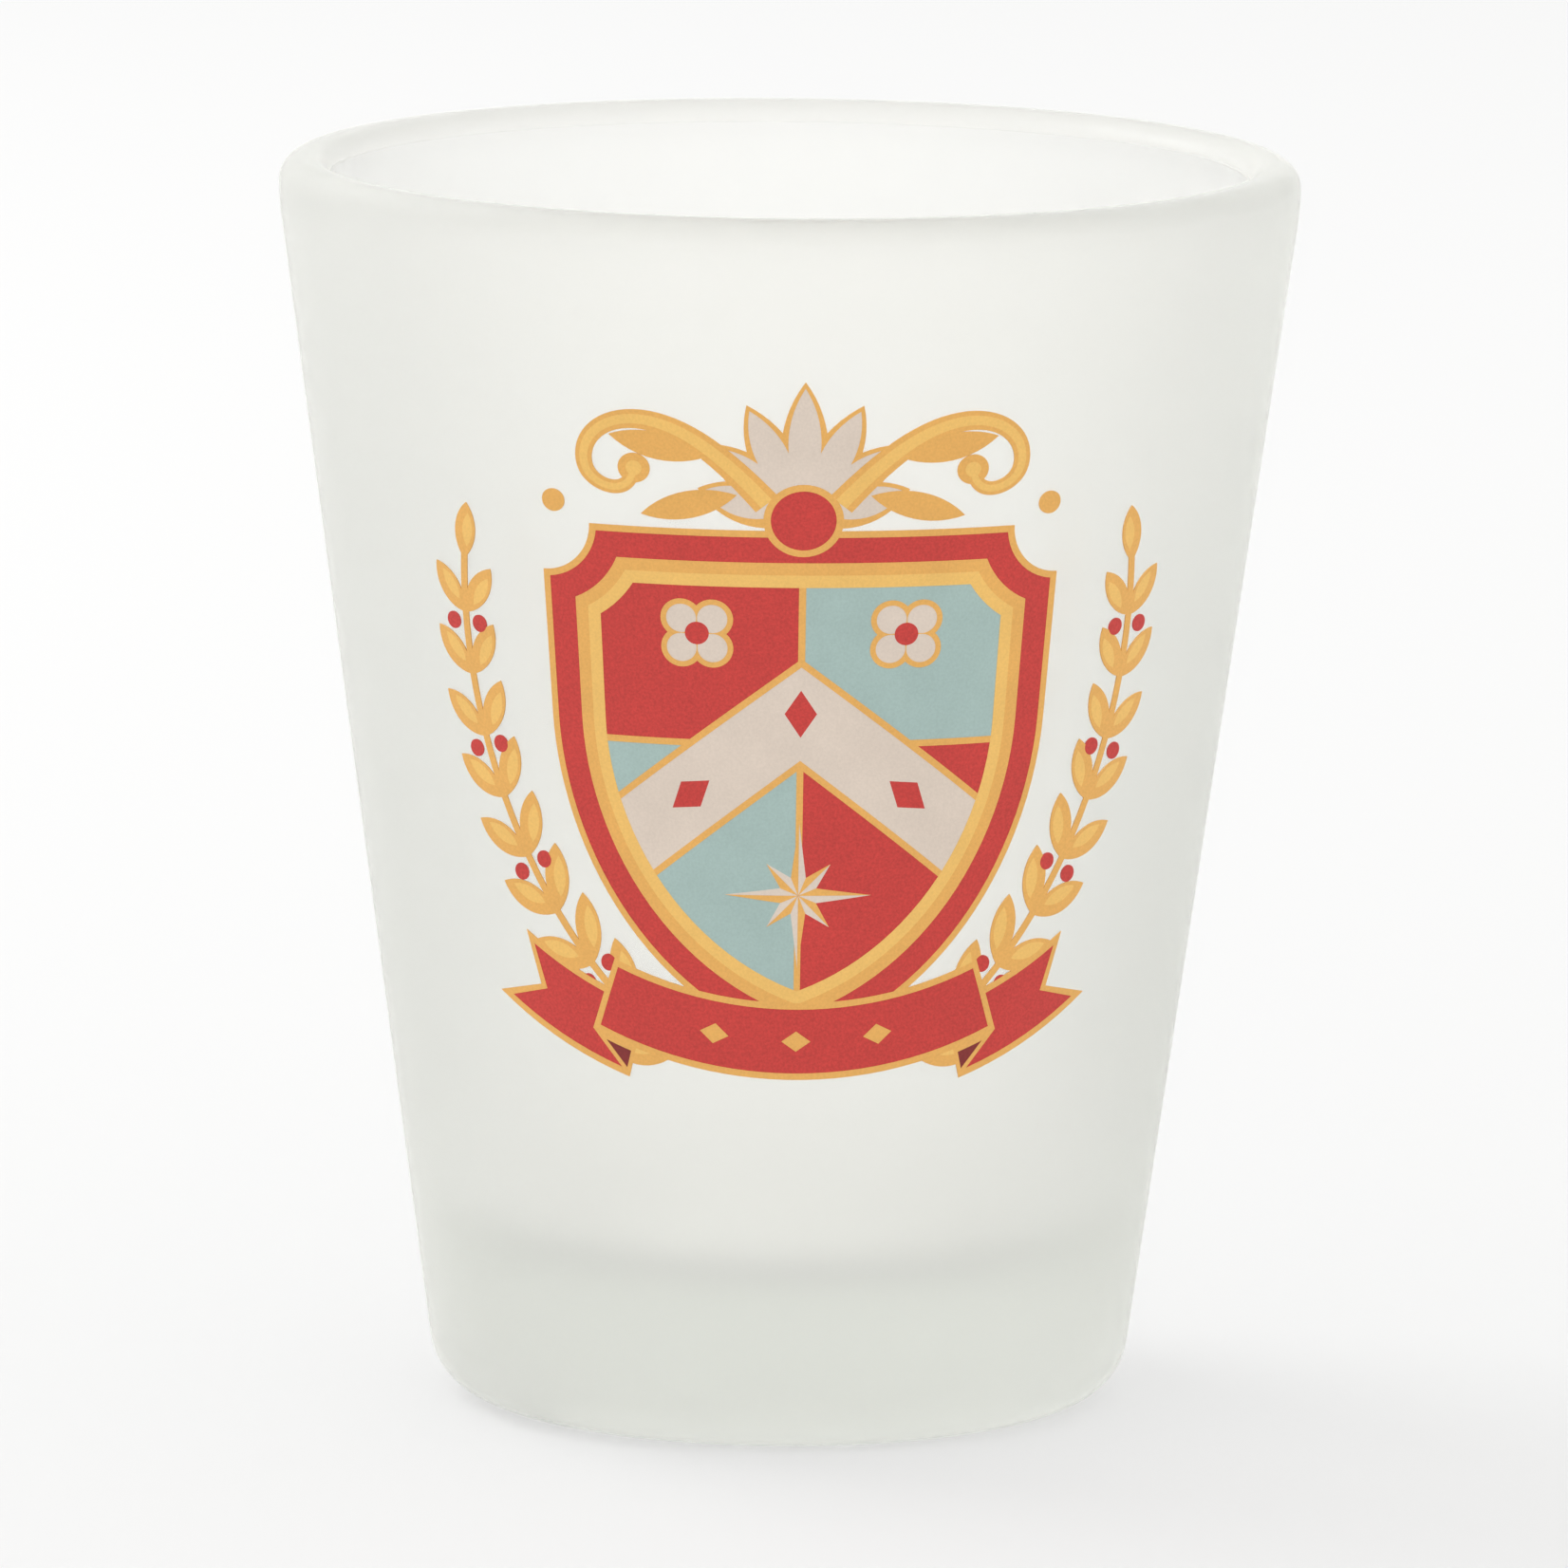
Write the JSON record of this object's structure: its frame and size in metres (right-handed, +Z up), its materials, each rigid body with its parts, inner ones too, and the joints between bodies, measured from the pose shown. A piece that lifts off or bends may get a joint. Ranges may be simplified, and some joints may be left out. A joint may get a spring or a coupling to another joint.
{
  "type": "shot glass",
  "caption": "Tapered frosted shot glass with a thick base, round lip and a printed heraldic crest in red, gold, pale blue and cream.",
  "frame": {"origin": "centre of the base, on the surface that the glass stands on", "axes": "+Z up along the axis of the glass, -Y towards the viewer of the crest, +X to that viewer's right"},
  "size_m": [0.049, 0.049, 0.0601],
  "materials": {
    "glass": "clear pressed glass with a faint green tint",
    "frosting": "fine even satin frosting",
    "ink_red": "satin enamel ink with a fine speckle",
    "ink_dark_red": "satin enamel ink",
    "ink_blue": "satin enamel ink",
    "ink_cream": "satin enamel ink",
    "ink_gold": "satin ochre-gold enamel ink, not metallic",
    "ink_light_gold": "satin yellow-gold enamel ink, not metallic"
  },
  "bodies": {
    "root": {"glass_body": "glass", "frost_coat": "frosting", "ink_chevron": "ink_cream", "ink_chevron_edging": "ink_gold", "ink_chevron_lozenges": "ink_red", "ink_compass_star": "ink_gold", "ink_compass_star_facets": "ink_cream", "ink_crown_scroll_lights": "ink_light_gold", "ink_crown_scrolls": "ink_gold", "ink_field_blue": "ink_blue", "ink_field_cross_lines": "ink_gold", "ink_field_red": "ink_red", "ink_laurel_berries": "ink_red", "ink_laurel_branch_left": "ink_gold", "ink_laurel_branch_right": "ink_gold", "ink_laurel_lights": "ink_light_gold", "ink_palmette_boss": "ink_red", "ink_palmette_boss_ring": "ink_gold", "ink_palmette_outline": "ink_gold", "ink_palmette_petals": "ink_cream", "ink_ribbon": "ink_red", "ink_ribbon_edging": "ink_gold", "ink_ribbon_fold_edging": "ink_gold", "ink_ribbon_folds": "ink_dark_red", "ink_ribbon_studs": "ink_gold", "ink_ribbon_tail_edging": "ink_gold", "ink_ribbon_tails": "ink_red", "ink_rosette_hearts": "ink_red", "ink_rosette_outlines": "ink_gold", "ink_rosettes": "ink_cream", "ink_shield_border": "ink_red", "ink_shield_frame": "ink_gold", "ink_shield_frame_bevel": "ink_light_gold", "ink_shield_hairline": "ink_gold"}
  },
  "joints": []
}
